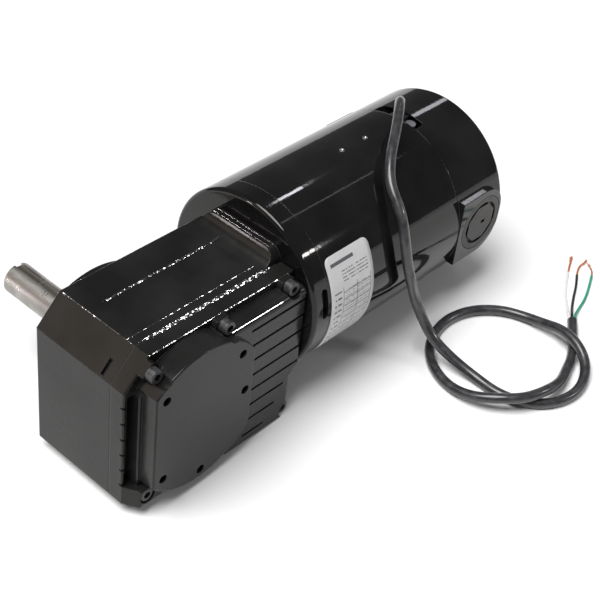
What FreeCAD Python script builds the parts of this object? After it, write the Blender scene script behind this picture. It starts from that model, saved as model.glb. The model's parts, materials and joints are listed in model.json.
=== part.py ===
import FreeCAD, Part
import math
import os
from FreeCAD import Vector as V

# A right-angle DC gearmotor.  The gearbox and motor are drawn level, with +X along the
# motor, +Y along the output shaft and +Z up, the origin on the output shaft's axis at
# the output mounting face.  Everything but the cord is then tilted about +Y, because the
# gearmotor rests on the rear foot of its gearbox and on the motor's rear end.
# All sizes are in millimetres.

# ---- gearbox ----
BOX_FRONT = -40.5            # front face of the housing
BOX_REAR = 74.0              # rear wall of the housing, where the motor flange starts
BOX_TOP = 46.5
BOX_BOTTOM = -46.5
CHAMFER_X = 15.6             # the large chamfer along the front top edge
CHAMFER_Z = 16.3
FACE_PROUD = 3.5             # the round output boss stands this far out of the housing
BOX_Y = -FACE_PROUD          # flat output side of the housing
SEAM_Y = -60.0               # face where the cover bolts on
WALL = 5.0
GASKET = 0.5
FLANGE_Y = -70.0             # outer face of the cover's flange
PANEL_Y = -81.0              # outer face of the grooved panel
COVER_BOSS_Y = -84.7         # outer face of the round cover boss
OUTPUT_BOSS_R = 45.5
COVER_BOSS_R = 44.8
COVER_BOSS_LEFT = -32.3      # both round bosses are cut flat on their two sides
COVER_BOSS_RIGHT = 36.6
PANEL_TOP = 42.0
PANEL_RIGHT = 77.8
PANEL_LOWER_RIGHT = 71.4     # the panel steps in below its waist
PANEL_WAIST = -11.5
GROOVE_PITCH = 10.8
GROOVE_TOP = 34.4
GROOVE_W = 1.5
GROOVE_DEEP = 2.4
NOTCH_TOP = 20.6             # first notch of the flange's front border
CHANNEL_X0 = -38.6           # a channel runs down beside the notched border
CHANNEL_X1 = -34.2
CHANNEL_DEEP = 4.6
CHANNEL_Z = (-34.5, 27.0)
SHOULDER_INSET = 6.3         # a low step round the boss, parallel to the flange's outline
SHOULDER_Y = -74.6
FOOT_Y = -79.4               # face of the foot at the cover's lower front corner
FOOT_X = (-35.4, -20.5)
FOOT_TOP = -34.6
SLOT_X = (-39.3, -32.9)      # short slot across the housing's chamfer
SLOT_Y = (-53.9, -51.8)
SLOT_DEEP = 1.8
POCKET_R = 4.8               # round each screw head
EAR_R = 5.2                  # round the screw at the middle of the bottom edge
BOSS_R = 6.2                 # screw bosses inside the casing

# ---- motor ----
MOTOR_Y = -34.0
MOTOR_Z = 17.5
MOTOR_R = 53.85
SHELL_WALL = 5.0
FLANGE_X = 78.0              # front face of the motor, against the gearbox flange
SHELL_X0 = 91.0
SHELL_X1 = 204.6
MOTOR_END = 246.7
BRUSH_X = 226.5
FLANGE_TOP = 54.5
FLANGE_HALF_Y = 26.0
FLANGE_CORNER = 8.0
FLANGE_SWEEP = 12.0          # concave radius between the housing's top and the flange
SHELL_PIN_X = (152.5, 172.5)
SHELL_PIN_R = 1.6
SHIELD_HOLE_X = 87.4         # oval recess in the front shield's rim
SHIELD_HOLE_R = 2.3
SHIELD_HOLE_TURNS = (4.5, 19.0)
THROUGH_BOLT_R = 44.6        # distance of each through bolt from the motor's axis
THROUGH_BOLT_TURNS = (70.0, 250.0)
BRUSH_COVER_R = 18.0
BRUSH_RING_R = 14.0          # recessed ring round the cover's eight-sided boss
BRUSH_BOSS_R = 12.9
BRUSH_PAD_CORNER = 18.6
NOTCH_MID = 95.0             # angle of the cord's notch, from -Y towards +Z
NOTCH_SPREAD = 34.0
NOTCH_LONG = 9.5
NOTCH_CORNER = 4.6
CORD_TURN = 95.0             # angle at which the cord leaves
CLAMP_TURN = 85.2
CORE_X0 = 116.0
CORE_X1 = 182.0
CORE_SLOTS = 12

# ---- output shaft ----
SHAFT_R = 9.525
SHAFT_OUT = 63.5
SEAL_JOURNAL_R = 9.75        # the shaft is slightly thicker where the seal runs on it
SHAFT_STEPS = [              # radius, inner end and outer end of each step
    (SHAFT_R, 0.0, SHAFT_OUT), (SEAL_JOURNAL_R, -7.4, 0.0), (10.0, -21.5, -7.4),
    (12.5, -42.4, -21.5), (11.0, -58.4, -42.4), (10.0, -68.0, -58.4), (8.5, -79.6, -68.0)]
KEYWAY_W = 4.8
KEYWAY_LONG = 38.0
KEYWAY_DEEP = 2.4
KEYWAY_TURN = -6.0           # degrees from straight up, towards the front

# ---- gears ----
MODULE = 1.5
GEAR_TEETH = 42
PINION_TEETH = 14
WHEEL_TEETH = 20
WORM_STARTS = 2
WORM_R = 9.0                 # pitch radius of the worm
PRESSURE = math.radians(20.0)
BACKLASH = 0.36              # at each spur gear's pitch circle
GEAR_Y0 = -56.5
GEAR_Y1 = -46.5
WHEEL_W = 11.0
WHEEL_R = MODULE * WHEEL_TEETH / 2.0
WHEEL_TURN = -0.9            # degrees, so that the worm's threads run between the wheel's teeth
CROSS_Z = MOTOR_Z - WORM_R - WHEEL_R
SPUR_CENTRES = MODULE * (GEAR_TEETH + PINION_TEETH) / 2.0
CROSS_X = math.sqrt(SPUR_CENTRES ** 2 - CROSS_Z ** 2)
WORM_LEAD = math.pi * MODULE * WORM_STARTS
LEAD_ANGLE = math.degrees(math.atan(WORM_LEAD / (2.0 * math.pi * WORM_R)))
WORM_X0 = CROSS_X - 12.0
WORM_X1 = CROSS_X + 12.0

# ---- fasteners and fits ----
SCREW_R = 2.2
SCREW_HEAD_R = 4.0
SCREW_HEAD_H = 4.9
PAD_Y = -74.0
EAR_SPOT = (19.5, -44.6)
COVER_SCREWS = [(-27.0, 39.8), (22.0, 43.0), (69.5, 43.0), (71.0, -42.7), EAR_SPOT, (-30.6, -40.4)]
COVER_TAPS = [(27.0, 27.3), (31.0, 0.0), (-25.6, 27.3), (-25.6, -27.3), (1.6, -39.0)]
TAP_R = 2.6
OUTPUT_TAP_R = 3.2
OUTPUT_TAP_PCD = 76.0
DOWEL_R = 2.0
DOWELS = [(-37.6, -30.0), (60.0, 43.9)]
SHIELD_SCREWS = [(dy, dz) for dy in (-22.0, 22.0) for dz in (-20.0, 20.0)]
OUTPUT_BEARINGS = [((0, -14.5, 0), 10.0, 23.5, 14.0), ((0, -74.0, 0), 8.5, 20.0, 12.0)]
MOTOR_BEARINGS = [(88.0, 8.5, 20.0, 12.0), (240.0, 5.0, 15.0, 9.0)]
RUN_FIT = 0.05               # radial clearance of a shaft in a bush or a seal

# ---- tilt at rest, and the surface that the gearmotor stands on ----
TILT = math.atan2(MOTOR_Z - MOTOR_R - BOX_BOTTOM, MOTOR_END - 2.2 - FLANGE_X)
FLOOR_Z = BOX_BOTTOM * math.cos(TILT) - FLANGE_X * math.sin(TILT)

# ---- cord and its three wires, in the tilted frame ----
CORD_R = 3.1
WIRE_R = 0.85
COPPER_R = 0.6
LOW = FLOOR_Z + CORD_R       # height of the cord's centre where it lies flat
RISE = -45.0                 # on its way up to a crossing
OVER = -41.0                 # where it crosses over itself
CORD_ROUTE = [
    (212.8, -29.4, 57.7), (213.5, -28.4, 68.9), (200.0, -38.5, 73.0), (185.5, -48.5, 69.0),
    (170.0, -58.0, 64.5), (158.5, -68.0, 57.0), (154.0, -81.5, 47.5), (150.5, -89.0, 35.0),
    (149.5, -93.5, 20.5), (153.0, -95.5, 6.0), (159.0, -94.5, -8.0), (162.0, -99.0, -22.0),
    (162.5, -109.0, -34.5), (164.5, -124.0, -42.5), (167.0, -141.0, LOW), (166.0, -158.0, LOW),
    (172.0, -173.5, LOW), (183.0, -184.0, LOW), (197.0, -188.5, LOW), (210.5, -186.5, LOW),
    (222.0, -179.5, RISE), (228.0, -168.0, OVER), (231.0, -155.0, OVER), (231.5, -143.0, RISE),
    (231.0, -129.0, LOW), (225.0, -115.0, LOW), (212.5, -103.0, LOW), (196.5, -97.5, LOW),
    (180.0, -99.0, LOW), (165.0, -106.5, LOW), (154.5, -119.5, LOW), (150.0, -134.5, LOW),
    (150.5, -149.5, RISE), (157.0, -163.0, OVER), (168.0, -173.5, OVER), (182.0, -178.5, OVER),
    (197.0, -178.5, RISE), (210.0, -174.0, LOW), (223.0, -169.8, LOW), (236.6, -160.7, LOW),
    (249.3, -151.4, LOW)]
WIRE_Z = FLOOR_Z + WIRE_R
DIP = WIRE_Z + 0.3
WIRE_ROUTES = {
    "wire_white": [(248.24, -149.95, LOW), (252.3, -147.0, LOW), (257.5, -142.2, DIP),
                   (268.0, -133.8, WIRE_Z), (279.0, -126.5, WIRE_Z), (287.2, -122.4, WIRE_Z)],
    "wire_black": [(249.3, -151.4, LOW), (253.7, -148.2, LOW), (259.5, -144.4, DIP),
                   (269.0, -139.0, WIRE_Z), (281.0, -133.2, WIRE_Z), (289.2, -127.9, WIRE_Z)],
    "wire_green": [(250.36, -152.85, LOW), (254.4, -149.9, LOW), (261.0, -147.6, DIP),
                   (273.5, -144.8, WIRE_Z), (285.5, -139.8, WIRE_Z), (295.5, -134.9, WIRE_Z)]}
COPPER_ROUTES = {
    "copper_end_white": [(287.2, -122.4, WIRE_Z), (302.0, -115.0, WIRE_Z)],
    "copper_end_black": [(289.2, -127.9, WIRE_Z), (293.4, -125.2, WIRE_Z), (306.0, -123.4, WIRE_Z)],
    "copper_end_green": [(295.5, -134.9, WIRE_Z), (299.1, -133.1, WIRE_Z), (304.2, -126.6, WIRE_Z)]}


def box(x0, x1, y0, y1, z0, z1):
    return Part.makeBox(x1 - x0, y1 - y0, z1 - z0, V(x0, y0, z0))


def rod(r, start, end):
    start = V(*start)
    run = V(*end) - start
    return Part.makeCylinder(r, run.Length, start, run)


def tube(outer, inner, start, end):
    return rod(outer, start, end).cut(rod(inner, start, end))


def cross_rod(r, y0, y1, x=0.0, z=0.0):
    return rod(r, (x, y0, z), (x, y1, z))


def cross_tube(outer, inner, y0, y1, x=0.0, z=0.0):
    return cross_rod(outer, y0, y1, x, z).cut(cross_rod(inner, y0, y1, x, z))


def motor_rod(r, x0, x1, dy=0.0, dz=0.0):
    return rod(r, (x0, MOTOR_Y + dy, MOTOR_Z + dz), (x1, MOTOR_Y + dy, MOTOR_Z + dz))


def motor_tube(outer, inner, x0, x1, dy=0.0, dz=0.0):
    return motor_rod(outer, x0, x1, dy, dz).cut(motor_rod(inner, x0, x1, dy, dz))


def plate_xz(points, y0, y1):
    wire = Part.makePolygon([V(x, y0, z) for x, z in points + points[:1]])
    return Part.Face(wire).extrude(V(0, y1 - y0, 0))


def fuse(shapes):
    shape = shapes[0].fuse(shapes[1:]) if len(shapes) > 1 else shapes[0]
    return shape.removeSplitter()


def group(shapes):
    return Part.makeCompound(shapes)


def round_edges(shape, radius, pick):
    edges = [edge for edge in shape.Edges if pick(edge.BoundBox)]
    return shape.makeFillet(radius, edges)


def box_outline(inset=0.0):
    slope = math.hypot(CHAMFER_X, CHAMFER_Z)
    shift_x = inset * (slope - CHAMFER_X) / CHAMFER_Z
    shift_z = inset * (slope - CHAMFER_Z) / CHAMFER_X
    x0 = BOX_FRONT + inset
    return [(x0, BOX_BOTTOM + inset), (x0, BOX_TOP - CHAMFER_Z - shift_z),
            (BOX_FRONT + CHAMFER_X + shift_x, BOX_TOP - inset), (BOX_REAR - inset, BOX_TOP - inset),
            (BOX_REAR - inset, BOX_BOTTOM + inset)]


# ---------------------------------------------------------------- gearbox casing

def motor_flange():
    """Raised flange at the housing's rear, with a concave sweep down to the housing's top."""
    y0 = MOTOR_Y - FLANGE_HALF_Y
    y1 = MOTOR_Y + FLANGE_HALF_Y
    x0 = BOX_REAR - FLANGE_SWEEP
    block = box(x0, FLANGE_X, y0, y1, BOX_BOTTOM, FLANGE_TOP)
    block = round_edges(block, FLANGE_CORNER, lambda b: b.XLength > 4.0 and b.ZMin > FLANGE_TOP - 0.1)
    below = box(x0 - 1.0, BOX_REAR - 1.0, y0 - 1.0, y1 + 1.0, BOX_BOTTOM - 1.0, BOX_TOP - 1.0)
    sweep = cross_rod(FLANGE_SWEEP, y0 - 1.0, y1 + 1.0, x0, BOX_TOP + FLANGE_SWEEP)
    return block.cut(fuse([below, sweep]))


def gearbox_housing():
    shell = plate_xz(box_outline(), SEAM_Y, BOX_Y)
    shell = round_edges(shell, 1.6, lambda b: b.YLength < 0.1 and b.YMin > BOX_Y - 0.1 and b.XMin < 60)
    cavity = plate_xz(box_outline(WALL), SEAM_Y, BOX_Y - WALL)
    boss = cross_rod(OUTPUT_BOSS_R, BOX_Y - 1.0, 0.0)
    boss = boss.common(box(COVER_BOSS_LEFT, COVER_BOSS_RIGHT, -10.0, 1.0, -60.0, 60.0))
    boss = round_edges(boss, 1.2, lambda b: b.YMin > -0.1)
    outer = [shell.cut(cavity), boss, motor_flange()]
    outer.append(cross_rod(29.0, BOX_Y - 20.0, BOX_Y - WALL))
    outer.append(cross_rod(13.0, BOX_Y - 14.0, BOX_Y - WALL, CROSS_X, CROSS_Z))
    whole = plate_xz(box_outline(), SEAM_Y, BOX_Y)
    for x, z in COVER_SCREWS:
        outer.append(cross_rod(BOSS_R, SEAM_Y, SEAM_Y + 24.0, x, z).common(whole))
    outer.append(ear(SEAM_Y, SEAM_Y + 24.0))
    outer.append(motor_rod(18.0, BOX_REAR - 14.0, BOX_REAR))
    body = fuse(outer)
    cuts = [cross_rod(10.6, -30.0, 1.0)]
    cuts.append(cross_rod(23.5, BOX_Y - 20.5, -7.5))
    cuts.append(cross_rod(17.5, -7.5, 1.0))
    cuts.append(cross_rod(9.0, BOX_Y - 14.5, -6.5, CROSS_X, CROSS_Z))
    cuts.append(motor_rod(8.0, BOX_REAR - 15.0, FLANGE_X + 1.0))
    cuts.append(motor_rod(13.0, BOX_REAR - 4.0, FLANGE_X + 1.0))
    cuts += [cross_rod(SCREW_R, SEAM_Y - 1.0, SEAM_Y + 16.0, x, z) for x, z in COVER_SCREWS]
    cuts += [cross_rod(DOWEL_R, SEAM_Y - 1.0, SEAM_Y + 8.0, x, z) for x, z in DOWELS]
    cuts += [cross_rod(OUTPUT_TAP_R, -14.0, 1.0, x, z) for x, z in output_taps()]
    cuts += [motor_rod(SCREW_R, BOX_REAR - 10.0, FLANGE_X + 1.0, dy, dz) for dy, dz in SHIELD_SCREWS]
    slot = box(*SLOT_X, *SLOT_Y, 25.0, BOX_TOP).cut(plate_xz(box_outline(SLOT_DEEP), SEAM_Y, BOX_Y))
    return body.cut(fuse(cuts)).cut(slot)


def ear(y0, y1):
    """The lug that stands out of the bottom edge round one cover screw."""
    return cross_rod(EAR_R, y0, y1, *EAR_SPOT)


def output_taps():
    r = OUTPUT_TAP_PCD / 2.0
    turns = [math.radians(45.0 + 90.0 * i) for i in range(4)]
    return [(r * math.cos(a), r * math.sin(a)) for a in turns]


def cover_panel():
    z_low = BOX_BOTTOM
    outline = [(0.0, z_low), (0.0, PANEL_TOP), (PANEL_RIGHT, PANEL_TOP), (PANEL_RIGHT, PANEL_WAIST),
               (PANEL_LOWER_RIGHT, PANEL_WAIST - 6.0), (PANEL_LOWER_RIGHT, z_low)]
    panel = plate_xz(outline, PANEL_Y, FLANGE_Y + 1.0)
    panel = round_edges(panel, 4.0, lambda b: b.YMax < PANEL_Y + 0.1 and b.ZMin > PANEL_TOP - 0.1)
    return round_edges(panel, 1.4, lambda b: b.YMax < PANEL_Y + 0.1 and b.XMin > 60 and b.XLength < 8)


def cover_grooves():
    right_ends = [PANEL_RIGHT + 1.0] * 5 + [66.5, 60.5, 53.0]
    cuts = []
    for i, x1 in enumerate(right_ends):
        z = GROOVE_TOP - GROOVE_PITCH * i
        cuts.append(box(COVER_BOSS_RIGHT, x1, PANEL_Y - 1.0, PANEL_Y + GROOVE_DEEP,
                        z - GROOVE_W / 2.0, z + GROOVE_W / 2.0))
    for i in range(6):
        z = NOTCH_TOP - GROOVE_PITCH * i
        cuts.append(box(BOX_FRONT - 1.0, CHANNEL_X0 + 0.5, FLANGE_Y - 1.0, FLANGE_Y + 1.8,
                        z - GROOVE_W / 2.0, z + GROOVE_W / 2.0))
    cuts.append(box(CHANNEL_X0, CHANNEL_X1, FLANGE_Y - 1.0, FLANGE_Y + CHANNEL_DEEP, *CHANNEL_Z))
    return cuts


def cover_shoulder():
    """Low step on the front half of the cover, from which the round boss rises."""
    step = plate_xz(box_outline(SHOULDER_INSET), SHOULDER_Y, FLANGE_Y + 1.0)
    step = step.common(box(BOX_FRONT, -12.0, SHOULDER_Y, FLANGE_Y + 1.0, FOOT_TOP, BOX_TOP))
    return round_edges(step, 0.8, lambda b: b.YMax < SHOULDER_Y + 0.1 and b.XMax < -15.0 and b.XMin < -24.0)


def cover_foot():
    """Block at the cover's lower front corner, with a slanted front face."""
    x0, x1 = FOOT_X
    outline = [(BOX_FRONT, FLANGE_Y), (x0, FOOT_Y), (x1, FOOT_Y), (x1, FLANGE_Y + 1.0),
               (BOX_FRONT, FLANGE_Y + 1.0)]
    wire = Part.makePolygon([V(x, y, BOX_BOTTOM) for x, y in outline + outline[:1]])
    foot = Part.Face(wire).extrude(V(0, 0, FOOT_TOP - BOX_BOTTOM))
    return round_edges(foot, 1.4, lambda b: b.YMax < FOOT_Y + 0.1)


def cover_pads():
    """Raised seats under the screw heads."""
    beyond = box(BOX_REAR - 1.0, PANEL_RIGHT - 0.4, PAD_Y, FLANGE_Y + 1.0, BOX_BOTTOM, BOX_TOP)
    outline = fuse([plate_xz(box_outline(), PAD_Y, FLANGE_Y + 1.0), beyond])
    pads = [cross_rod(EAR_R, PAD_Y, FLANGE_Y + 1.0, x, z).common(outline) for x, z in COVER_SCREWS]
    return pads + [ear(PAD_Y, SEAM_Y - GASKET)]


def cover_boss():
    disc = cross_rod(COVER_BOSS_R, COVER_BOSS_Y, FLANGE_Y + 1.0)
    disc = disc.common(box(COVER_BOSS_LEFT, COVER_BOSS_RIGHT, -90.0, -60.0, -60.0, 60.0))
    return round_edges(disc, 0.9, lambda b: b.YMax < COVER_BOSS_Y + 0.1)


def gearbox_cover():
    y_in = SEAM_Y - GASKET
    flange = plate_xz(box_outline(), FLANGE_Y, y_in)
    extra = box(BOX_REAR - 1.0, PANEL_RIGHT, FLANGE_Y, y_in, BOX_BOTTOM, BOX_TOP)
    waist = box(PANEL_LOWER_RIGHT + 2.0, 90.0, -90.0, -60.0, -60.0, PANEL_WAIST - 3.0)
    flange = round_edges(fuse([flange, extra.cut(waist)]), 0.8, lambda b: b.YMax < FLANGE_Y + 0.1)
    body = fuse([flange, cover_panel(), cover_boss(), cover_shoulder(), cover_foot()])
    pockets = [cross_rod(POCKET_R, -90.0, PAD_Y, x, z) for x, z in COVER_SCREWS]
    body = fuse([body.cut(fuse(cover_grooves() + pockets))] + cover_pads())
    cavity = box(-27.0, 64.0, -76.5, y_in + 1.0, -35.0, 35.0)
    cavity = round_edges(cavity, 6.0, lambda b: b.YLength > 10)
    cavity = cavity.cut(cross_rod(25.0, -80.0, -68.0))
    cavity = cavity.cut(cross_rod(13.5, -80.0, -64.0, CROSS_X, CROSS_Z))
    cuts = [cavity, cross_rod(20.0, -80.0, -60.0), cross_rod(9.0, -74.0, -60.0, CROSS_X, CROSS_Z)]
    cuts += [cross_rod(SCREW_R + 0.3, -90.0, -60.0, x, z) for x, z in COVER_SCREWS]
    cuts += [cross_rod(TAP_R, -90.0, COVER_BOSS_Y + 7.5, x, z) for x, z in COVER_TAPS]
    cuts += [cross_rod(DOWEL_R, -66.0, -60.0, x, z) for x, z in DOWELS]
    return body.cut(fuse(cuts))


def cover_gasket():
    sheet = plate_xz(box_outline(), SEAM_Y - GASKET, SEAM_Y)
    sheet = sheet.cut(plate_xz(box_outline(WALL), SEAM_Y - GASKET, SEAM_Y))
    bosses = [cross_rod(BOSS_R, SEAM_Y - GASKET, SEAM_Y, x, z) for x, z in COVER_SCREWS]
    whole = plate_xz(box_outline(), SEAM_Y - GASKET, SEAM_Y)
    sheet = fuse([sheet, ear(SEAM_Y - GASKET, SEAM_Y)] + [boss.common(whole) for boss in bosses])
    holes = [cross_rod(SCREW_R + 0.3, SEAM_Y - 1.0, SEAM_Y + 0.1, x, z) for x, z in COVER_SCREWS]
    holes += [cross_rod(DOWEL_R, SEAM_Y - 1.0, SEAM_Y + 0.1, x, z) for x, z in DOWELS]
    return sheet.cut(fuse(holes))


def hexagon(across, start, run):
    corner = across / math.sqrt(3.0)
    run = V(*run)
    start = V(*start)
    side = run.cross(V(0.3, 0.2, 1.0)).normalize()
    up = run.cross(side).normalize()
    points = []
    for i in range(7):
        a = math.radians(60.0 * i)
        points.append(start + side * (corner * math.cos(a)) + up * (corner * math.sin(a)))
    return Part.Face(Part.makePolygon(points)).extrude(run)


def cap_screw(x, z, head_y, tip_y):
    head = cross_rod(SCREW_HEAD_R, head_y - SCREW_HEAD_H, head_y, x, z)
    head = round_edges(head, 0.5, lambda b: b.YMax < head_y - SCREW_HEAD_H + 0.1)
    socket = hexagon(4.0, (x, head_y - SCREW_HEAD_H - 0.1, z), (0, 2.8, 0))
    shank = cross_rod(SCREW_R, head_y, tip_y, x, z)
    return fuse([head.cut(socket), shank])


def cover_screws():
    return group([cap_screw(x, z, PAD_Y, SEAM_Y + 14.0) for x, z in COVER_SCREWS])


def cover_dowels():
    return group([cross_rod(DOWEL_R, -65.5, SEAM_Y + 7.5, x, z) for x, z in DOWELS])


# ---------------------------------------------------------------- bearings and seals

def bearing(centre, run, bore, outer, width):
    """Return the outer ring, the inner ring and the balls of one ball bearing."""
    axis = V(*run).normalize()
    middle = V(*centre)
    start = middle - axis * (width / 2.0)
    end = middle + axis * (width / 2.0)
    pitch = (bore + outer) / 2.0
    ball = (outer - bore) * 0.29
    land = (outer - bore) * 0.27
    track = Part.makeTorus(pitch, ball + 0.3, middle, axis)
    outer_ring = tube(outer, outer - land, start, end).cut(track)
    inner_ring = tube(bore + land, bore, start, end).cut(track)
    side = axis.cross(V(0.1, 0.2, 0.97)).normalize()
    up = axis.cross(side)
    count = int(2.0 * math.pi * pitch / (ball * 2.9))
    balls = []
    for i in range(count):
        a = 2.0 * math.pi * i / count
        spot = middle + side * (pitch * math.cos(a)) + up * (pitch * math.sin(a))
        balls.append(Part.makeSphere(ball, spot))
    return outer_ring, inner_ring, balls


def output_bearing_parts():
    made = [bearing(centre, (0, 1, 0), bore, outer, width)
            for centre, bore, outer, width in OUTPUT_BEARINGS]
    return [m[0] for m in made], [m[1] for m in made], [ball for m in made for ball in m[2]]


def motor_bearing_parts():
    made = [bearing((x, MOTOR_Y, MOTOR_Z), (1, 0, 0), bore, outer, width)
            for x, bore, outer, width in MOTOR_BEARINGS]
    return [m[0] for m in made], [m[1] for m in made], [ball for m in made for ball in m[2]]


def output_seal():
    body = cross_tube(17.5, 15.5, -6.9, -0.4)
    web = cross_tube(15.5, 11.4, -2.0, -0.4)
    lip = cross_tube(11.4, SEAL_JOURNAL_R + RUN_FIT, -4.6, -0.8)
    return fuse([body, web, lip])


def motor_shaft_seal():
    x0 = BOX_REAR - 4.0
    return fuse([motor_tube(13.0, 11.2, x0, x0 + 6.0),
                 motor_tube(11.2, 6.0 + RUN_FIT, x0 + 1.0, x0 + 3.0)])


def cross_bushes():
    ends = [(BOX_Y - 14.0, -6.5), (-74.0, -65.0)]
    return group([cross_tube(9.0, 6.0 + RUN_FIT, y0, y1, CROSS_X, CROSS_Z) for y0, y1 in ends])


# ---------------------------------------------------------------- gears and shafts

def involute(angle):
    return math.tan(angle) - angle


def spur_outline(teeth, addendum, dedendum):
    """Corner points of an involute spur gear, tooth by tooth, about the origin."""
    pitch_r = MODULE * teeth / 2.0
    base_r = pitch_r * math.cos(PRESSURE)
    tip_r = pitch_r + addendum
    root_r = pitch_r - dedendum
    half = math.pi / (2.0 * teeth) - BACKLASH / (2.0 * pitch_r)
    low_r = max(base_r, root_r)
    flank = []
    for i in range(5):
        r = low_r + (tip_r - low_r) * i / 4.0
        turn = half + involute(PRESSURE) - involute(math.acos(min(1.0, base_r / r)))
        flank.append((r, turn))
    if root_r < base_r:
        flank.insert(0, (root_r, flank[0][1]))
    points = []
    for tooth in range(teeth):
        centre = 2.0 * math.pi * tooth / teeth
        rising = [(r, centre - turn) for r, turn in flank]
        falling = [(r, centre + turn) for r, turn in reversed(flank)]
        points += [(r * math.cos(a), r * math.sin(a)) for r, a in rising + falling]
    return points


def spur_gear(teeth, addendum, dedendum, y0, y1, bore, x=0.0, z=0.0, turn=0.0):
    blank = plate_xz(spur_outline(teeth, addendum, dedendum), y0, y1)
    blank.rotate(V(0, 0, 0), V(0, 1, 0), -math.degrees(turn))
    blank.translate(V(x, 0, z))
    return blank.cut(cross_rod(bore, y0 - 1.0, y1 + 1.0, x, z))


def output_gear():
    gear = spur_gear(GEAR_TEETH, 0.85 * MODULE, 1.3 * MODULE, GEAR_Y0, GEAR_Y1, 11.0)
    hub = cross_tube(17.0, 11.0, GEAR_Y1, GEAR_Y1 + 4.0)
    dish = cross_tube(26.5, 18.0, GEAR_Y1 - 2.5, GEAR_Y1 + 1.0)
    back = cross_tube(26.5, 18.0, GEAR_Y0 - 1.0, GEAR_Y0 + 2.5)
    seat = box(-3.0, 3.0, GEAR_Y0 - 1.0, GEAR_Y1 + 5.0, 8.0, 13.6)
    return fuse([gear, hub]).cut(fuse([dish, back, seat]))


def pinion_phase():
    """Turn that puts a pinion gap opposite a tooth of the output gear on the centre line."""
    line = math.atan2(CROSS_Z, CROSS_X)
    gear_turn = line * GEAR_TEETH / PINION_TEETH
    return line + math.pi + gear_turn + math.pi / PINION_TEETH


def output_pinion():
    return spur_gear(PINION_TEETH, 0.8 * MODULE, 1.25 * MODULE, GEAR_Y0 - 1.0, GEAR_Y1 + 1.0,
                     6.0, CROSS_X, CROSS_Z, pinion_phase())


def worm_wheel():
    width = WHEEL_W
    root_r = WHEEL_R - 1.25 * MODULE
    tip_r = WHEEL_R + 0.75 * MODULE
    half_root = 1.48
    half_tip = 0.5
    y0 = MOTOR_Y - width / 2.0
    long = width / 2.0 + 2.0
    profile = [V(-half_root, -long, root_r - 1.0), V(half_root, -long, root_r - 1.0),
               V(half_tip, -long, tip_r), V(-half_tip, -long, tip_r), V(-half_root, -long, root_r - 1.0)]
    bar = Part.Face(Part.makePolygon(profile)).extrude(V(0, 2.0 * long, 0))
    bar.rotate(V(0, 0, 0), V(0, 0, 1), -LEAD_ANGLE)
    bar.translate(V(CROSS_X, MOTOR_Y, CROSS_Z))
    centre = V(CROSS_X, 0, CROSS_Z)
    teeth = []
    for i in range(WHEEL_TEETH):
        tooth = bar.copy()
        tooth.rotate(centre, V(0, 1, 0), 360.0 * i / WHEEL_TEETH + WHEEL_TURN)
        teeth.append(tooth)
    rim = cross_rod(root_r, y0, y0 + width, CROSS_X, CROSS_Z)
    hub = cross_rod(10.5, y0 - 2.5, y0 + width + 3.0, CROSS_X, CROSS_Z)
    slice_r = cross_rod(tip_r + 1.0, y0, y0 + width, CROSS_X, CROSS_Z)
    wheel = fuse([rim.fuse(teeth).common(slice_r), hub])
    return wheel.cut(cross_rod(6.0, y0 - 10.0, y0 + width + 10.0, CROSS_X, CROSS_Z))


def worm():
    core_r = WORM_R - 1.25 * MODULE
    tip_r = WORM_R + 0.75 * MODULE
    long = WORM_X1 - WORM_X0
    helix = Part.makeHelix(WORM_LEAD, long + 2.0 * WORM_LEAD, WORM_R)
    threads = []
    for start in range(WORM_STARTS):
        half_root = 1.42
        half_tip = 0.52
        points = [V(core_r - 0.8, 0, -half_root), V(core_r - 0.8, 0, half_root), V(tip_r, 0, half_tip),
                  V(tip_r, 0, -half_tip), V(core_r - 0.8, 0, -half_root)]
        thread = Part.Wire(helix).makePipeShell([Part.makePolygon(points)], True, True)
        thread.rotate(V(0, 0, 0), V(0, 0, 1), 360.0 * start / WORM_STARTS)
        threads.append(thread)
    span = Part.makeCylinder(tip_r + 1.0, long, V(0, 0, WORM_LEAD))
    core = Part.makeCylinder(core_r, long, V(0, 0, WORM_LEAD))
    body = core.fuse([thread.common(span) for thread in threads])
    body = body.cut(Part.makeCylinder(5.0, long + 2.0, V(0, 0, WORM_LEAD - 1.0)))
    body.translate(V(0, 0, -WORM_LEAD))
    body.rotate(V(0, 0, 0), V(0, 1, 0), 90.0)
    body.translate(V(WORM_X0, MOTOR_Y, MOTOR_Z))
    return body


def output_shaft():
    shaft = fuse([cross_rod(r, y0, y1) for r, y0, y1 in SHAFT_STEPS])
    shaft = round_edges(shaft, 1.0, lambda b: b.YMin > SHAFT_OUT - 0.1)
    slot = box(-KEYWAY_W / 2.0, KEYWAY_W / 2.0, SHAFT_OUT - KEYWAY_LONG, SHAFT_OUT + 1.0,
               SHAFT_R - KEYWAY_DEEP, SHAFT_R + 2.0)
    run_out = rod(KEYWAY_W / 2.0, (0, SHAFT_OUT - KEYWAY_LONG, SHAFT_R - KEYWAY_DEEP),
                  (0, SHAFT_OUT - KEYWAY_LONG, SHAFT_R + 2.0))
    slot = fuse([slot, run_out])
    slot.rotate(V(0, 0, 0), V(0, 1, 0), -KEYWAY_TURN)
    seat = box(-3.0, 3.0, GEAR_Y0 - 0.5, GEAR_Y1 + 4.0, 8.0, 13.0)
    ring_groove = cross_tube(13.0, 10.0, -58.0, -56.8)
    return shaft.cut(slot).cut(seat).cut(ring_groove)


def gear_key():
    return box(-3.0, 3.0, GEAR_Y0, GEAR_Y1 + 4.0, 8.0, 13.4)


def gear_retaining_ring():
    ring = cross_tube(13.6, 10.0, -57.8, -56.8)
    return ring.cut(box(-2.5, 2.5, -60.0, -55.0, -20.0, 0.0))


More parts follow.
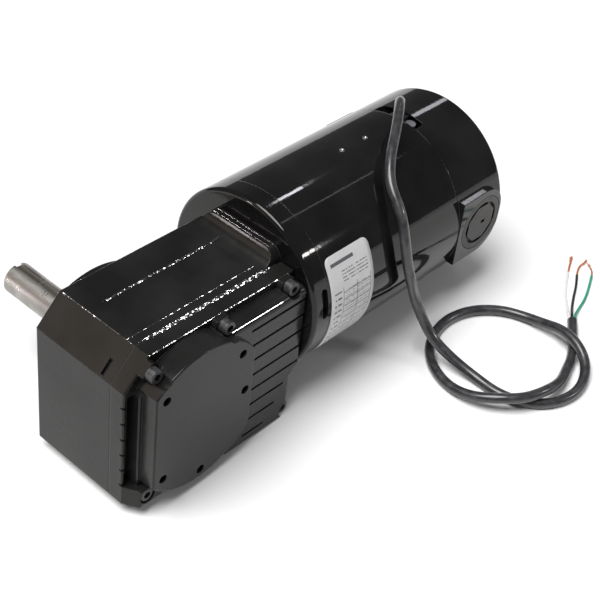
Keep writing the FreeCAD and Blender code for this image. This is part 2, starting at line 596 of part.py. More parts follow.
def cross_shaft():
    steps = [(6.0, -73.6, -7.0), (9.0, GEAR_Y1 + 1.0, MOTOR_Y - WHEEL_W / 2.0 - 2.5)]
    return fuse([cross_rod(r, y0, y1, CROSS_X, CROSS_Z) for r, y0, y1 in steps])


def cross_shaft_collar():
    y0 = MOTOR_Y + WHEEL_W / 2.0 + 3.0
    return cross_tube(8.5, 6.0, y0, y0 + 4.0, CROSS_X, CROSS_Z)


# ---------------------------------------------------------------- motor

def front_end_shield():
    rim = motor_rod(MOTOR_R, FLANGE_X + GASKET, SHELL_X0)
    rim = round_edges(rim, 2.6, lambda b: b.XMax < FLANGE_X + GASKET + 0.1)
    pilot = motor_rod(MOTOR_R - SHELL_WALL, SHELL_X0, SHELL_X0 + 5.0)
    body = fuse([rim, pilot])
    bowl = motor_tube(44.5, 25.0, 86.0, SHELL_X0 + 6.0)
    cuts = [bowl, motor_rod(20.0, 82.0, 100.0), motor_rod(10.0, 70.0, 100.0)]
    for dy, dz in SHIELD_SCREWS:
        cuts.append(motor_rod(SCREW_R + 0.2, 70.0, 100.0, dy, dz))
    for dy, dz in through_bolt_places():
        cuts.append(motor_rod(SCREW_R, 82.0, 100.0, dy, dz))
    return body.cut(fuse(cuts)).cut(shield_recess())


def shield_recess():
    """Oval recess in the rim, its long side round the motor."""
    low, high = SHIELD_HOLE_TURNS
    ends = []
    for turn in (math.radians(low), math.radians(high)):
        out = V(0, -math.cos(turn), math.sin(turn))
        base = V(SHIELD_HOLE_X, MOTOR_Y, MOTOR_Z) + out * (MOTOR_R - 4.0)
        ends.append(Part.makeCylinder(SHIELD_HOLE_R, 6.0, base, out))
    middle = wedge(MOTOR_R + 1.0, MOTOR_R - 4.0, SHIELD_HOLE_X - SHIELD_HOLE_R,
                   SHIELD_HOLE_X + SHIELD_HOLE_R, (low + high) / 2.0, high - low)
    return fuse(ends + [middle])


def adapter_gasket():
    y0 = MOTOR_Y - FLANGE_HALF_Y
    sheet = box(FLANGE_X, FLANGE_X + GASKET, y0, y0 + 2.0 * FLANGE_HALF_Y, -28.0, FLANGE_TOP)
    sheet = round_edges(sheet, FLANGE_CORNER,
                        lambda b: b.XLength > 0.4 and b.ZMin > FLANGE_TOP - 0.1 and b.YLength < 1)
    disc = motor_rod(MOTOR_R - 3.0, FLANGE_X, FLANGE_X + GASKET)
    holes = [motor_rod(SCREW_R + 0.2, 70.0, 100.0, dy, dz) for dy, dz in SHIELD_SCREWS]
    return sheet.common(disc).cut(fuse(holes + [motor_rod(14.0, 70.0, 100.0)]))


def shield_screw(dy, dz):
    head = motor_rod(SCREW_HEAD_R, 86.0, 86.0 + SCREW_HEAD_H, dy, dz)
    socket = hexagon(4.0, (86.0 + SCREW_HEAD_H + 0.1, MOTOR_Y + dy, MOTOR_Z + dz), (-2.8, 0, 0))
    return fuse([head.cut(socket), motor_rod(SCREW_R, BOX_REAR - 8.0, 86.0, dy, dz)])


def motor_shell():
    shell = motor_tube(MOTOR_R, MOTOR_R - SHELL_WALL, SHELL_X0, SHELL_X1)
    low, high = MOTOR_Z + 45.0, MOTOR_Z + 60.0
    pins = [rod(SHELL_PIN_R, (x, MOTOR_Y, low), (x, MOTOR_Y, high)) for x in SHELL_PIN_X]
    return shell.cut(fuse(pins))


def shell_pins():
    pins = []
    for x in SHELL_PIN_X:
        top = MOTOR_Z + MOTOR_R + 0.5
        pin = rod(SHELL_PIN_R, (x, MOTOR_Y, MOTOR_Z + MOTOR_R - SHELL_WALL + 0.2), (x, MOTOR_Y, top))
        pins.append(pin.cut(Part.makeSphere(1.5, V(x, MOTOR_Y, top + 0.9))))
    return group(pins)


def wedge(outer, inner, x0, x1, middle, spread):
    """A sector of a tube about the motor axis; angles are from -Y towards +Z."""
    ring = motor_tube(outer, inner, x0, x1)
    reach = outer * 2.0
    points = [V(x0, MOTOR_Y, MOTOR_Z)]
    for step in range(5):
        a = math.radians(middle - spread / 2.0 + spread * step / 4.0)
        points.append(V(x0, MOTOR_Y - reach * math.cos(a), MOTOR_Z + reach * math.sin(a)))
    points.append(points[0])
    return ring.common(Part.Face(Part.makePolygon(points)).extrude(V(x1 - x0, 0, 0)))


def field_magnets():
    return group([wedge(MOTOR_R - SHELL_WALL, 40.6, 108.0, 190.0, side, 126.0)
                  for side in (0.0, 180.0)])


def through_bolt_places():
    turns = [math.radians(turn) for turn in THROUGH_BOLT_TURNS]
    return [(-THROUGH_BOLT_R * math.cos(a), THROUGH_BOLT_R * math.sin(a)) for a in turns]


def through_bolts():
    bolts = []
    for dy, dz in through_bolt_places():
        head = motor_rod(SCREW_HEAD_R, MOTOR_END - 6.0, MOTOR_END - 2.0, dy, dz)
        slot = box(MOTOR_END - 3.2, MOTOR_END, MOTOR_Y + dy - 5.0, MOTOR_Y + dy + 5.0,
                   MOTOR_Z + dz - 0.6, MOTOR_Z + dz + 0.6)
        bolts.append(fuse([head.cut(slot), motor_rod(SCREW_R, 83.0, MOTOR_END - 6.0, dy, dz)]))
    return group(bolts)


def brush_pad(side):
    """Flat pad on the rear cap around a brush cover; side is -1 or +1 along Y."""
    y_face = MOTOR_Y + side * (MOTOR_R + 0.35)
    y_in = MOTOR_Y + side * 40.0
    pad = box(SHELL_X1 + 0.8, MOTOR_END - 1.2, min(y_face, y_in), max(y_face, y_in),
              MOTOR_Z - 22.0, MOTOR_Z + 22.0)
    return round_edges(pad, BRUSH_PAD_CORNER, lambda b: b.YLength > 10 and b.XMin > MOTOR_END - 2.0)


def cord_notch(inner):
    """The gap in the rear cap's front edge that the cord comes out of, with round rear corners."""
    x0 = SHELL_X1 - 1.0
    x1 = SHELL_X1 + NOTCH_LONG
    gap = wedge(MOTOR_R + 1.0, inner, x0, x1, NOTCH_MID, NOTCH_SPREAD)
    sides = [edge for edge in gap.Edges
             if edge.BoundBox.XMin > x1 - 0.1 and edge.Length < MOTOR_R + 1.1 - inner]
    return gap.makeFillet(NOTCH_CORNER, sides)


def rear_end_cap():
    body = motor_rod(MOTOR_R, SHELL_X1, MOTOR_END)
    body = round_edges(body, 2.2, lambda b: b.XMin > MOTOR_END - 0.1)
    body = fuse([body, brush_pad(-1.0), brush_pad(1.0)])
    hollow = motor_rod(MOTOR_R - SHELL_WALL, SHELL_X1 - 1.0, MOTOR_END - 6.5)
    hollow = hollow.cut(motor_rod(19.0, MOTOR_END - 12.0, MOTOR_END))
    cuts = [motor_rod(15.0, 235.5, 244.5), motor_rod(9.0, 234.0, 236.0)]
    for side in (-1.0, 1.0):
        y_face = MOTOR_Y + side * (MOTOR_R + 0.4)
        cuts.append(rod(BRUSH_COVER_R, (BRUSH_X, y_face, MOTOR_Z), (BRUSH_X, y_face - side * 3.0, MOTOR_Z)))
        cuts.append(rod(12.0, (BRUSH_X, y_face, MOTOR_Z), (BRUSH_X, MOTOR_Y + side * 30.0, MOTOR_Z)))
    for dy, dz in through_bolt_places():
        cuts.append(motor_rod(SCREW_R, 200.0, 250.0, dy, dz))
        cuts.append(motor_rod(SCREW_HEAD_R, MOTOR_END - 6.0, 250.0, dy, dz))
    return body.cut(hollow).cut(cord_notch(40.0)).cut(fuse(cuts))


def brush_cover(side):
    """Flush round cover with a recessed ring that leaves an eight-sided boss with a slot."""
    y_face = MOTOR_Y + side * (MOTOR_R + 0.35)
    face = (BRUSH_X, y_face, MOTOR_Z)
    disc = rod(BRUSH_COVER_R - 0.35, face, (BRUSH_X, y_face - side * 2.6, MOTOR_Z))
    ring = rod(BRUSH_RING_R, face, (BRUSH_X, y_face - side * 1.6, MOTOR_Z))
    points = []
    for i in range(9):
        a = math.radians(22.5 + 45.0 * i)
        points.append(V(*face) + V(math.cos(a), 0, math.sin(a)) * BRUSH_BOSS_R)
    boss = Part.Face(Part.makePolygon(points)).extrude(V(0, -side * 1.6, 0))
    slot = box(BRUSH_X + 0.5, BRUSH_X + 4.0, y_face - 1.2, y_face + 1.2, MOTOR_Z - 1.1, MOTOR_Z + 1.1)
    plug = rod(9.0, (BRUSH_X, y_face - side * 2.6, MOTOR_Z), (BRUSH_X, y_face - side * 6.0, MOTOR_Z))
    return fuse([disc.cut(ring.cut(boss)), plug]).cut(slot)


def brush_holder(side):
    y0 = MOTOR_Y + side * 18.2
    y1 = MOTOR_Y + side * (MOTOR_R - 6.0)
    low, high = min(y0, y1), max(y0, y1)
    outer = box(BRUSH_X - 7.0, BRUSH_X + 7.0, low, high, MOTOR_Z - 5.5, MOTOR_Z + 5.5)
    inner = box(BRUSH_X - 4.0, BRUSH_X + 4.0, low - 1.0, high + 1.0, MOTOR_Z - 3.5, MOTOR_Z + 3.5)
    return outer.cut(inner)


def brush(side):
    tip = MOTOR_Y + side * 17.35
    back = MOTOR_Y + side * 33.0
    return box(BRUSH_X - 3.9, BRUSH_X + 3.9, min(tip, back), max(tip, back), MOTOR_Z - 3.4, MOTOR_Z + 3.4)


def brush_spring(side):
    long = 13.0
    helix = Part.makeHelix(2.6, long, 2.6)
    start = V(2.6, 0, 0)
    circle = Part.Wire([Part.makeCircle(0.35, start, V(0, 1, 0.16))])
    coil = Part.Wire(helix).makePipeShell([circle], True, True)
    coil.rotate(V(0, 0, 0), V(1, 0, 0), -90.0 if side > 0 else 90.0)
    coil.translate(V(BRUSH_X, MOTOR_Y + side * 33.6, MOTOR_Z))
    return coil


def armature_shaft():
    steps = [(5.0, WORM_X0 - 2.0, WORM_X1), (6.0, WORM_X1, 81.0), (8.5, 81.0, 94.0), (10.0, 94.0, 212.0),
             (8.0, 212.0, 235.5), (5.0, 235.5, 244.2)]
    return fuse([motor_rod(r, x0, x1) for r, x0, x1 in steps])


def slot_bar(x0, x1, half, low, high):
    return box(x0, x1, MOTOR_Y - half, MOTOR_Y + half, MOTOR_Z + low, MOTOR_Z + high)


def spin_copies(shape, count):
    copies = []
    for i in range(count):
        item = shape.copy()
        item.rotate(V(0, MOTOR_Y, MOTOR_Z), V(1, 0, 0), 360.0 * i / count)
        copies.append(item)
    return copies


def armature_core():
    core = motor_tube(39.6, 10.0, CORE_X0, CORE_X1)
    slot = fuse([slot_bar(CORE_X0 - 1.0, CORE_X1 + 1.0, 4.0, 20.0, 35.0),
                 slot_bar(CORE_X0 - 1.0, CORE_X1 + 1.0, 1.2, 34.0, 42.0)])
    return core.cut(fuse(spin_copies(slot, CORE_SLOTS)))


def armature_windings():
    bars = spin_copies(slot_bar(CORE_X0 - 1.0, CORE_X1 + 1.0, 3.6, 20.4, 34.4), CORE_SLOTS)
    front = motor_tube(35.5, 14.0, CORE_X0 - 13.0, CORE_X0 - 0.4)
    rear = motor_tube(35.5, 14.0, CORE_X1 + 0.4, CORE_X1 + 15.0)
    front = round_edges(front, 5.0, lambda b: b.XMax < CORE_X0 - 12.0 and b.YLength > 60)
    rear = round_edges(rear, 5.0, lambda b: b.XMin > CORE_X1 + 14.0 and b.YLength > 60)
    return fuse([front, rear] + bars)


def commutator():
    body = motor_tube(17.0, 8.0, 214.0, 234.0)
    riser = motor_tube(20.0, 10.0, 204.0, 207.0)
    neck = motor_tube(17.0, 10.0, 206.0, 212.0)
    step = motor_tube(17.0, 8.0, 212.0, 215.0)
    body = fuse([body, riser, neck, step])
    slits = spin_copies(slot_bar(205.0, 235.0, 0.3, 15.6, 21.0), 2 * CORE_SLOTS)
    return body.cut(fuse(slits))


def nameplate():
    return wedge(MOTOR_R + 0.3, MOTOR_R, SHELL_X0 + 1.2, SHELL_X0 + 36.0, 1.0, 72.0)


def cord_grommet():
    return wedge(MOTOR_R - 0.7, MOTOR_R - 9.0, SHELL_X1 + 0.4, SHELL_X1 + 8.2, CORD_TURN, 10.4)


def lead_clamp():
    spot = math.radians(CLAMP_TURN)
    rise = V(0, -math.cos(spot), math.sin(spot))
    foot = V(SHELL_X1 + 4.6, MOTOR_Y, MOTOR_Z) + rise * 46.0
    return Part.makeCylinder(3.1, 5.6, foot, rise)


# ---------------------------------------------------------------- cord

def cord_tube(name, route, radius):
    """A tube along straight runs, joined by arcs as large as their two runs allow."""
    points = [V(*p) for p in route]
    edges = []
    start = points[0]
    for i in range(1, len(points) - 1):
        before = points[i - 1] - points[i]
        after = points[i + 1] - points[i]
        half_turn = (math.pi - before.getAngle(after)) / 2.0
        cut = 0.45 * min(before.Length, after.Length)
        toward = points[i] + before.normalize() * cut
        away = points[i] + after.normalize() * cut
        arc_r = cut / math.tan(half_turn)
        to_middle = (before + after).normalize()
        middle = points[i] + to_middle * (arc_r / math.cos(half_turn) - arc_r)
        edges.append(Part.LineSegment(start, toward).toShape())
        edges.append(Part.Arc(toward, middle, away).toShape())
        print(name, "arc", i, "radius", round(arc_r, 1))
        start = away
    edges.append(Part.LineSegment(start, points[-1]).toShape())
    spine = Part.Wire(edges)
    ring = Part.Wire([Part.makeCircle(radius, points[0], points[1] - points[0])])
    tube_shape = spine.makePipeShell([ring], True, True)
    whole = math.pi * radius ** 2 * spine.Length
    print(name, "length", round(spine.Length, 1), "volume ratio", round(tube_shape.Volume / whole, 4))
    return tube_shape


def cord_parts():
    parts = {"power_cord": cord_tube("power_cord", CORD_ROUTE, CORD_R)}
    for name, route in WIRE_ROUTES.items():
        parts[name] = cord_tube(name, route, WIRE_R)
    for name, route in COPPER_ROUTES.items():
        parts[name] = cord_tube(name, route, COPPER_R)
    return parts


def build():
    outers, inners, balls = output_bearing_parts()
    motor_outers, motor_inners, motor_balls = motor_bearing_parts()
    sides = {"near": -1.0, "far": 1.0}
    parts = {
        "gearbox_housing": gearbox_housing(),
        "gearbox_cover": gearbox_cover(),
        "cover_gasket": cover_gasket(),
        "cover_screws": cover_screws(),
        "cover_dowels": cover_dowels(),
        "output_seal": output_seal(),
        "output_shaft": output_shaft(),
        "output_gear": output_gear(),
        "gear_key": gear_key(),
        "gear_retaining_ring": gear_retaining_ring(),
        "output_bearing_outer_rings": group(outers),
        "output_bearing_inner_rings": group(inners),
        "output_bearing_balls": group(balls),
        "cross_shaft": cross_shaft(),
        "cross_shaft_collar": cross_shaft_collar(),
        "output_pinion": output_pinion(),
        "worm_wheel": worm_wheel(),
        "cross_shaft_bushes": cross_bushes(),
        "worm": worm(),
        "motor_shaft_seal": motor_shaft_seal(),
        "adapter_gasket": adapter_gasket(),
        "front_end_shield": front_end_shield(),
        "shield_screws": group([shield_screw(dy, dz) for dy, dz in SHIELD_SCREWS]),
        "motor_shell": motor_shell(),
        "shell_pins": shell_pins(),
        "field_magnets": field_magnets(),
        "through_bolts": through_bolts(),
        "rear_end_cap": rear_end_cap(),
        "brush_covers": group([brush_cover(side) for side in sides.values()]),
        "brush_holders": group([brush_holder(side) for side in sides.values()]),
        "carbon_brushes": group([brush(side) for side in sides.values()]),
        "brush_springs": group([brush_spring(side) for side in sides.values()]),
        "armature_shaft": armature_shaft(),
        "armature_core": armature_core(),
        "armature_windings": armature_windings(),
        "commutator": commutator(),
        "motor_bearing_outer_rings": group(motor_outers),
        "motor_bearing_inner_rings": group(motor_inners),
        "motor_bearing_balls": group(motor_balls),
        "nameplate": nameplate(),
        "cord_grommet": cord_grommet(),
        "lead_clamp": lead_clamp(),
    }
    for shape in parts.values():
        shape.rotate(V(0, 0, 0), V(0, 1, 0), math.degrees(TILT))
    parts.update(cord_parts())
    return parts


def main():
    os.makedirs("parts", exist_ok=True)
    for name, shape in build().items():
        shape.exportStep("parts/" + name + ".step")
        print(name, shape.isValid(), len(shape.Solids), round(shape.Volume, 1))


main()
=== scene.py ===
import json
import math
import random

import bmesh
import bpy
from mathutils import Matrix, Vector


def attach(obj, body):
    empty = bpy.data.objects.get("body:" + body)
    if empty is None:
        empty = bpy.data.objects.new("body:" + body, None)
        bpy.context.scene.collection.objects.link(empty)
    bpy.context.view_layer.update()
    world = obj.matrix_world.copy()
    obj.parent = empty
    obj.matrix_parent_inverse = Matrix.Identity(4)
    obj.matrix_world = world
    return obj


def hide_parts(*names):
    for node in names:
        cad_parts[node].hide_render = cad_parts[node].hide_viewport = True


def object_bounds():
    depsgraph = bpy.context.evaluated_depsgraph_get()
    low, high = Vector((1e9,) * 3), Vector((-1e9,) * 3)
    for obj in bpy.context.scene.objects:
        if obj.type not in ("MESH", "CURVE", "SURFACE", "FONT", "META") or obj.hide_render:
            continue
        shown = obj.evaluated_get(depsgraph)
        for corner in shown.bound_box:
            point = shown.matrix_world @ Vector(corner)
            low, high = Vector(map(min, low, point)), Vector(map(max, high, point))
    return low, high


# A right-angle gearmotor in glossy black paint, with its cord lying beside it.
# Lengths are in metres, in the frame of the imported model.

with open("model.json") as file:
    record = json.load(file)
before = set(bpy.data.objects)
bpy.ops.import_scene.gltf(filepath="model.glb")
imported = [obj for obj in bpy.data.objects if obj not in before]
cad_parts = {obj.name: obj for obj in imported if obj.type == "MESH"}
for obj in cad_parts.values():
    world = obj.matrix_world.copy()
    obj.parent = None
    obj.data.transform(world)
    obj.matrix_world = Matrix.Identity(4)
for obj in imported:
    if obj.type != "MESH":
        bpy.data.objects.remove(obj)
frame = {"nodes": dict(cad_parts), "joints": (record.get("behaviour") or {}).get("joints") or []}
CAD_LOW, CAD_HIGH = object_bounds()
FLOOR_Z = CAD_LOW.z
JOINTS = {joint["name"]: joint for joint in frame["joints"]}
MOTOR_POINT = Vector(JOINTS["armature_spin"]["pos_m"])
MOTOR_AXIS = Vector(JOINTS["armature_spin"]["axis"]).normalized()
MOTOR_UP = Vector((-MOTOR_AXIS.z, 0.0, MOTOR_AXIS.x))

# ---- camera ----
CAMERA_PLACE = (-0.34304, -0.43041, 0.52276)
CAMERA_AZIMUTH = math.radians(-50.065)
CAMERA_ELEVATION = math.radians(42.060)
CAMERA_ROLL = math.radians(4.471)
CAMERA_LENS = 83.99

# ---- label ----
LABEL_X = (0.0922, 0.1270)
LABEL_TURN = (math.radians(-35.0), math.radians(37.0))   # from -Y towards +Z
LABEL_R = 0.05396
LABEL_THICK = 0.00016
LABEL_CORNER = 0.0042
# Areas of the print as (left, right, low, high) shares of the label.
HEADER = (0.10, 0.62, 0.905, 0.935)
NOTES = (0.30, 0.90, 0.74, 0.86)
ROW_NAMES = (0.08, 0.24, 0.06, 0.68)
ENTRIES = (0.33, 0.90, 0.06, 0.68)
TABLE = (0.28, 0.93, 0.05, 0.70)
TABLE_SIDES = ((0.28, 0.292), (0.60, 0.612), (0.918, 0.93))
TABLE_ROWS = 15.4

# ---- lamps, as places and (length along X, width) ----
EDGE_LAMP = (0.885, -0.97, 0.705)         # shows in the edges between tops and -Y faces
EDGE_LAMP_SIZE = (0.36, 0.07)
SHELL_LAMP = (1.10, -0.16, 1.15)          # a faint streak along the motor
SHELL_LAMP_SIZE = (0.55, 0.03)
RIM_LAMP = (0.80, 0.26, 0.76)             # shows in the front shield's rim
RIM_LAMP_SIZE = (0.05, 0.05)
CAP_LAMP = (0.919, 0.333, 0.516)          # shows on the rear cap
CAP_LAMP_SIZE = (0.11, 0.05)
WALL_LAMP = (-0.86, 0.55, 0.68)           # shows in the housing's front chamfer
WALL_LAMP_SIZE = (0.6, 0.5)
FRONT_LAMP = (-0.998, 0.655, 0.178)       # shows in edges that run along Y
FRONT_LAMP_SIZE = (0.08, 0.20)
FRONT_LAMP_TARGET = (0.03, -0.03, 0.05)
COOL = (0.92, 0.91, 1.0)
WARM = (1.0, 0.86, 0.66)
ROSE = (1.0, 0.90, 0.94)
SUN_STRENGTH = 3.7
SUN_ANGLE = math.radians(40.0)
SUN_DIRECTION = (0.35, -0.1, -1.0)
WORLD_STRENGTH = 0.15

# ---- ridges of thick paint: ends and heights in millimetres on the level gearmotor ----
RIDGE_STEP = 0.0009
RIDGE_SIDES = 6
RIDGE_BREAKS = 0.3                        # share of the steps where a speckled bead runs thin
RIDGE_THIN = 0.2                          # width there, as a share of the full width
RIDGE_WAVE = 0.00004
SPECKLED, LINED, WHOLE = 1.0, 0.4, 0.1    # how uneven a bead is
TOP = 46.4
SEAM_ROWS = (-59.3, -60.1, -60.9)
SEAM_R = 0.00050
PARTING_ROWS = (-24.8, -25.5)
PARTING_R = 0.00036
SWEEP_FOOT, SWEEP_END = (62.0, 46.45), (67.0, 47.6)       # (x, z) where the sweep starts
FLANGE_TOP = 54.4
FLANGE_ENDS = (-13.0, -54.5)
RIDGES_ALONG_X = [                        # name, ends in x, y, z, radius in metres, unevenness
    ("rim_ridge", (-24.9, 74.0), -54.0, 46.45, 0.00022, LINED),
    ("far_edge_ridge", (-23.0, 60.0), -4.5, 46.25, 0.00022, SPECKLED),
    ("cover_edge_ridge", (-24.6, 73.5), -69.7, 46.2, 0.00038, LINED),
    ("panel_edge_ridge", (22.5, 60.0), -79.8, 40.8, 0.00030, WHOLE)]
RIDGES_ALONG_Y = [                        # name, x, ends in y, z, radius in metres, unevenness
    ("front_edge_ridge", -24.9, (-6.0, -36.0), TOP, 0.00036, SPECKLED),
    ("front_edge_end", -24.9, (-36.0, -59.5), TOP, 0.00014, SPECKLED),
    ("flange_ridge_front", 74.6, FLANGE_ENDS, FLANGE_TOP, 0.00016, WHOLE),
    ("flange_ridge_rear", 77.6, FLANGE_ENDS, FLANGE_TOP, 0.00016, WHOLE)]

# ---- cord, the same route as the solid one ----
CORD_R = 0.0031
WIRE_R = 0.00085
STRAND_R = 0.00021
LOW = -0.04806
RISE = -0.0450
OVER = -0.0410
CORD_ROUTE = [
    (0.2128, -0.0294, 0.0577), (0.2135, -0.0284, 0.0689), (0.2000, -0.0385, 0.0730),
    (0.1855, -0.0485, 0.0690), (0.1700, -0.0580, 0.0645), (0.1585, -0.0680, 0.0570),
    (0.1540, -0.0815, 0.0475), (0.1505, -0.0890, 0.0350), (0.1495, -0.0935, 0.0205),
    (0.1530, -0.0955, 0.0060), (0.1590, -0.0945, -0.0080), (0.1620, -0.0990, -0.0220),
    (0.1625, -0.1090, -0.0345), (0.1645, -0.1240, -0.0425), (0.1670, -0.1410, LOW),
    (0.1660, -0.1580, LOW), (0.1720, -0.1735, LOW), (0.1830, -0.1840, LOW),
    (0.1970, -0.1885, LOW), (0.2105, -0.1865, LOW), (0.2220, -0.1795, RISE),
    (0.2280, -0.1680, OVER), (0.2310, -0.1550, OVER), (0.2315, -0.1430, RISE),
    (0.2310, -0.1290, LOW), (0.2250, -0.1150, LOW), (0.2125, -0.1030, LOW),
    (0.1965, -0.0975, LOW), (0.1800, -0.0990, LOW), (0.1650, -0.1065, LOW),
    (0.1545, -0.1195, LOW), (0.1500, -0.1345, LOW), (0.1505, -0.1495, RISE),
    (0.1570, -0.1630, OVER), (0.1680, -0.1735, OVER), (0.1820, -0.1785, OVER),
    (0.1970, -0.1785, RISE), (0.2100, -0.1740, LOW), (0.2230, -0.1698, LOW),
    (0.2366, -0.1607, LOW), (0.2493, -0.1514, LOW)]
WIRE_Z = -0.05031
DIP = -0.05001
WIRES = {
    "white": [(0.24824, -0.14995, LOW), (0.2523, -0.1470, LOW), (0.2575, -0.1422, DIP),
              (0.2680, -0.1338, WIRE_Z), (0.2790, -0.1265, WIRE_Z), (0.2872, -0.1224, WIRE_Z)],
    "black": [(0.2493, -0.1514, LOW), (0.2537, -0.1482, LOW), (0.2595, -0.1444, DIP),
              (0.2690, -0.1390, WIRE_Z), (0.2810, -0.1332, WIRE_Z), (0.2892, -0.1279, WIRE_Z)],
    "green": [(0.25036, -0.15285, LOW), (0.2544, -0.1499, LOW), (0.2610, -0.1476, DIP),
              (0.2735, -0.1448, WIRE_Z), (0.2855, -0.1398, WIRE_Z), (0.2955, -0.1349, WIRE_Z)]}
STRAND_TIPS = {"white": (0.3020, -0.1150, WIRE_Z), "black": (0.3060, -0.1234, WIRE_Z),
               "green": (0.3042, -0.1266, WIRE_Z)}
STRANDS_PER_WIRE = 9
STRAND_RING = 0.00042        # ring of strands round the middle one
STRAND_FAN = (0.0011, 0.0007)
STRAND_SHORTEST = -0.0016


# ---------------------------------------------------------------- shader helpers

def new_material(name, color, roughness, metallic=0.0):
    """Return a material's node tree, its shader and its object coordinates."""
    material = bpy.data.materials.new(name)
    material.use_nodes = True
    tree = material.node_tree
    shader = tree.nodes["Principled BSDF"]
    shader.inputs["Base Color"].default_value = (*color, 1.0)
    shader.inputs["Roughness"].default_value = roughness
    shader.inputs["Metallic"].default_value = metallic
    where = tree.nodes.new("ShaderNodeTexCoord").outputs["Object"]
    return material, tree, shader, where


def noise(tree, where, scale, detail=3.0, stretch=(1.0, 1.0, 1.0)):
    """Noise with features about 1 / scale metres across, drawn out along an axis by stretch."""
    mapping = tree.nodes.new("ShaderNodeMapping")
    mapping.inputs["Scale"].default_value = [1.0 / s for s in stretch]
    tree.links.new(where, mapping.inputs["Vector"])
    node = tree.nodes.new("ShaderNodeTexNoise")
    node.inputs["Scale"].default_value = scale
    node.inputs["Detail"].default_value = detail
    tree.links.new(mapping.outputs["Vector"], node.inputs["Vector"])
    return node.outputs["Fac"]


def spread(tree, value, low_in, high_in, low_out=0.0, high_out=1.0):
    """Stretch a range of values to another one."""
    node = tree.nodes.new("ShaderNodeMapRange")
    names = ("From Min", "From Max", "To Min", "To Max")
    for name, number in zip(names, (low_in, high_in, low_out, high_out)):
        node.inputs[name].default_value = number
    tree.links.new(value, node.inputs["Value"])
    return node.outputs["Result"]


def feed(tree, shader, color, normal, roughness=None):
    """Link the shader's color, its normal and, where it varies, its roughness."""
    tree.links.new(color, shader.inputs["Base Color"])
    tree.links.new(normal, shader.inputs["Normal"])
    if roughness is not None:
        tree.links.new(roughness, shader.inputs["Roughness"])


def darken(color, share):
    return tuple(c * share for c in color)


def math_node(tree, operation, first, second):
    node = tree.nodes.new("ShaderNodeMath")
    node.operation = operation
    for socket, value in zip(node.inputs, (first, second)):
        if isinstance(value, (int, float)):
            socket.default_value = value
        else:
            tree.links.new(value, socket)
    return node.outputs["Value"]


def blend_colors(tree, factor, first, second):
    node = tree.nodes.new("ShaderNodeMix")
    node.data_type = "RGBA"
    tree.links.new(factor, node.inputs["Factor"])
    for socket, color in ((node.inputs["A"], first), (node.inputs["B"], second)):
        if isinstance(color, tuple):
            socket.default_value = (*color, 1.0)
        else:
            tree.links.new(color, socket)
    return node.outputs["Result"]


def bump(tree, height, distance, strength=1.0, normal=None):
    node = tree.nodes.new("ShaderNodeBump")
    node.inputs["Distance"].default_value = distance
    if isinstance(strength, float):
        node.inputs["Strength"].default_value = strength
    else:
        tree.links.new(strength, node.inputs["Strength"])
    tree.links.new(height, node.inputs["Height"])
    if normal is not None:
        tree.links.new(normal, node.inputs["Normal"])
    return node.outputs["Normal"]


def rounded_normal(tree, radius):
    node = tree.nodes.new("ShaderNodeBevel")
    node.samples = 6
    node.inputs["Radius"].default_value = radius
    return node.outputs["Normal"]


def edge_mask(tree, normal):
    """1 on an edge, 0 on a flat: how far the rounded normal turns from the face's own."""
    face = tree.nodes.new("ShaderNodeNewGeometry").outputs["Normal"]
    node = tree.nodes.new("ShaderNodeVectorMath")
    node.operation = "DOT_PRODUCT"
    tree.links.new(normal, node.inputs[0])
    tree.links.new(face, node.inputs[1])
    return spread(tree, node.outputs["Value"], 0.999, 0.94, 0.0, 1.0)


# ---------------------------------------------------------------- materials

def paint(name, color, roughness, gloss, rounding, peel, edge_grain):
    """Black enamel: orange peel on the flats, and a rough grain along the casting's edges."""
    material, tree, shader, where = new_material(name, color, roughness)
    shader.inputs["Specular IOR Level"].default_value = gloss
    shader.inputs["Specular Tint"].default_value = (1.0, 0.97, 0.94, 1.0)
    lighter = tuple(c * 1.9 + 0.004 for c in color)
    patches = spread(tree, noise(tree, where, 28.0, 4.0), 0.35, 0.75)
    tone = blend_colors(tree, patches, color, lighter)
    smudge = spread(tree, noise(tree, where, 55.0, 5.0), 0.3, 0.75,
                    roughness * 0.8, roughness * 1.45)
    edge = rounded_normal(tree, rounding)
    strength = math_node(tree, "MULTIPLY", edge_mask(tree, edge), edge_grain)
    grain = bump(tree, noise(tree, where, 900.0, 4.0), 0.0004, strength, edge)
    waves = bump(tree, noise(tree, where, 260.0, 2.0), peel, 1.0, grain)
    feed(tree, shader, tone, waves, smudge)
    return material


def thick_paint(name, relief):
    """Paint that has run into a ridge along an edge, glossier than the flats."""
    material, tree, shader, where = new_material(name, (0.02, 0.02, 0.021), 0.10)
    shader.inputs["Specular IOR Level"].default_value = 1.0
    shader.inputs["Coat Weight"].default_value = 1.0
    shader.inputs["Coat IOR"].default_value = 2.0
    shader.inputs["Coat Roughness"].default_value = 0.05
    grain = noise(tree, where, 700.0, 3.0)
    surface = bump(tree, grain, relief)
    tone = blend_colors(tree, grain, (0.008, 0.008, 0.008), (0.05, 0.05, 0.052))
    feed(tree, shader, tone, surface)
    tree.links.new(surface, shader.inputs["Coat Normal"])
    return material


def screw_black():
    material, tree, shader, where = new_material("screw_black", (0.035, 0.035, 0.038), 0.38, 0.3)
    tone = spread(tree, noise(tree, where, 420.0, 4.0), 0.3, 0.75)
    grain = bump(tree, noise(tree, where, 1500.0), 0.00005, 1.0, rounded_normal(tree, 0.0003))
    feed(tree, shader, blend_colors(tree, tone, (0.028, 0.028, 0.030), (0.075, 0.075, 0.078)),
         grain, spread(tree, tone, 0.0, 1.0, 0.3, 0.5))
    return material


